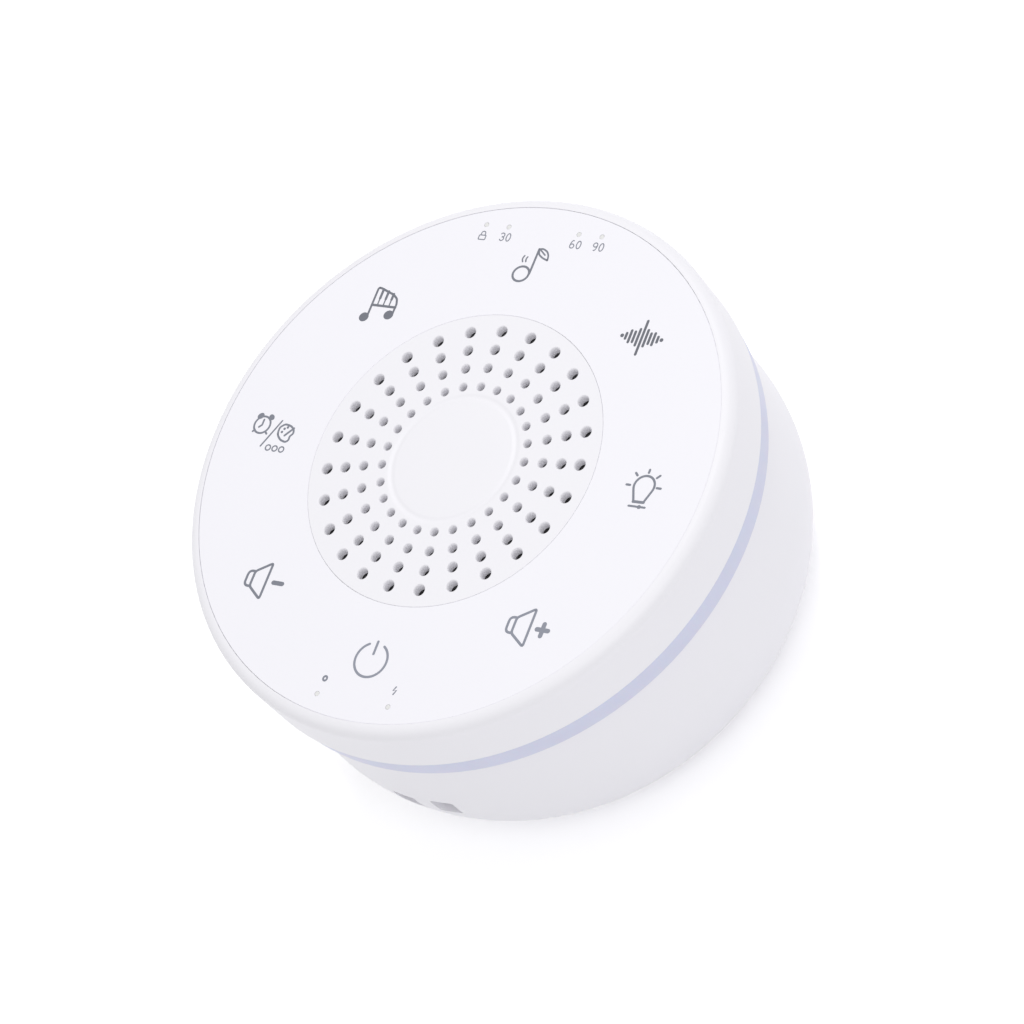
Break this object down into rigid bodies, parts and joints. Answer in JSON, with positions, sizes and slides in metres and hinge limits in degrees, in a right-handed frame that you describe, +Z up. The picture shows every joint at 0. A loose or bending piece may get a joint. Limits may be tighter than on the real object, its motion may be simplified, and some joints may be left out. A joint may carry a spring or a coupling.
{
  "type": "white noise sound machine",
  "caption": "Round white sound machine with a flush touch panel round a drilled speaker grille, a frosted light band under the rim and a bowl-shaped lower shell.",
  "frame": {"origin": "centre of the foot ring's underside, on the table", "axes": "+Z up, -Y is the front (the power key and the strap eye), +Y the back (the charging socket)"},
  "size_m": [0.1002, 0.1002, 0.054],
  "materials": {
    "panel_white": "fine satin, printed symbols",
    "shell_white": "fine spark-eroded satin",
    "frosted_band": "frosted, translucent",
    "adhesive_cream": "film tape",
    "acoustic_cloth": "woven mesh",
    "foot_rubber": "matt",
    "screw_steel": "zinc plated",
    "spring_steel": "bright wire",
    "board_green": "solder mask",
    "chip_black": "moulded",
    "lamp_cream": "moulded lamp body",
    "clear_guide": "clear acrylic",
    "capacitor_can": "sleeved can",
    "ferrite_grey": "sintered",
    "socket_steel": "drawn sheet",
    "header_cream": "moulded nylon",
    "plug_white": "moulded nylon",
    "cell_foil": "laminated foil pouch",
    "guard_amber": "film-wrapped board",
    "foam_grey": "closed-cell foam",
    "lead_red": "wire insulation",
    "lead_grey": "wire insulation",
    "frame_black": "powder coated",
    "plated_steel": "zinc plated",
    "ferrite_magnet": "sintered ferrite",
    "surround_rubber": "satin",
    "spider_cloth": "impregnated cloth",
    "cone_paper": "pressed pulp",
    "copper_wire": "enamelled winding"
  },
  "bodies": {
    "housing": {"touch_panel": "panel_white", "panel_adhesive": "adhesive_cream", "speaker_grille": "shell_white", "grille_cloth": "acoustic_cloth", "upper_shell": "shell_white", "light_ring": "frosted_band", "lower_shell": "shell_white", "foot_ring": "foot_rubber", "shell_screws": "screw_steel", "touch_board": "board_green", "touch_springs": "spring_steel", "touch_chip": "chip_black", "touch_board_screws": "screw_steel", "indicator_lamps": "lamp_cream", "timer_light_guide": "clear_guide", "status_light_guide": "clear_guide", "lamp_board": "board_green", "ring_lamps": "lamp_cream", "lamp_board_screws": "screw_steel", "main_board": "board_green", "main_board_screws": "screw_steel", "board_chips": "chip_black", "board_capacitors": "capacitor_can", "board_coils": "ferrite_grey", "usb_socket": "socket_steel", "usb_tongue": "chip_black", "board_headers": "header_cream", "lead_plugs": "plug_white", "battery_cell": "cell_foil", "battery_guard_board": "guard_amber", "battery_pad": "foam_grey", "battery_leads": "lead_red", "speaker_leads": "lead_grey", "touch_harness": "lead_grey", "lamp_harness": "lead_grey", "speaker_gasket": "foam_grey", "speaker_frame": "frame_black", "speaker_top_plate": "plated_steel", "speaker_magnet": "ferrite_magnet", "speaker_yoke": "plated_steel", "speaker_terminals": "header_cream", "speaker_screws": "screw_steel", "speaker_surround": "surround_rubber", "speaker_spider": "spider_cloth"},
    "cone_assembly": {"speaker_cone": "cone_paper", "dust_cap": "cone_paper", "voice_coil": "copper_wire"}
  },
  "joints": [
    {"name": "cone_travel", "type": "slide", "parent": "housing", "child": "cone_assembly", "axis": [0, 0, 1], "range_m": [-0.0012, 0.0012], "stiffness_N_per_m": 1500, "deforming": ["speaker_surround", "speaker_spider"]}
  ]
}
